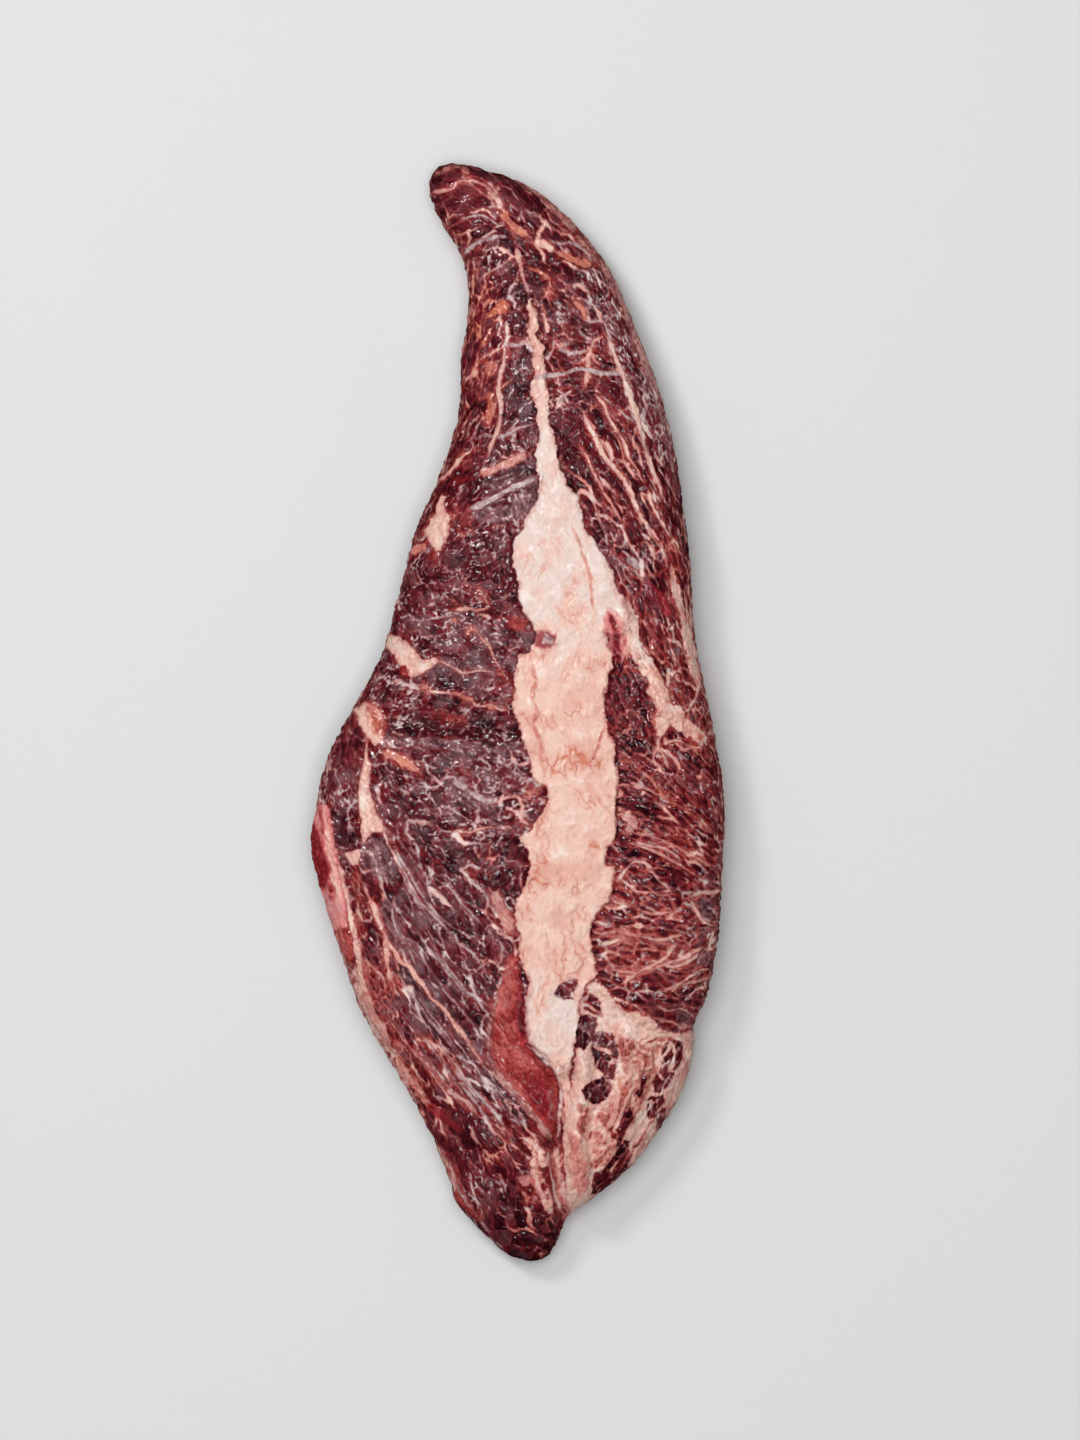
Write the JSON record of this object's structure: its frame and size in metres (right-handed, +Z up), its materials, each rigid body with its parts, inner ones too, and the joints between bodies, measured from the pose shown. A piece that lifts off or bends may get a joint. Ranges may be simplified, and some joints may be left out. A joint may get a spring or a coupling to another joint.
{
  "type": "boneless short rib",
  "caption": "Raw boneless beef short rib: a long, low slab of marbled red meat with a seam of pale fat down the middle, tapering to both ends and lying flat.",
  "frame": {"origin": "centre of the bounding box on the flat underside, where the slab rests", "axes": "+Y along the slab from its blunt tail to its thin tip, +X to the right when seen from above with the tip up, +Z up"},
  "size_m": [0.128, 0.3399, 0.0415],
  "materials": {
    "raw_beef": "wet satin, dark red lean with pale pink fat"
  },
  "bodies": {
    "root": {"short_rib": "raw_beef"}
  },
  "joints": []
}
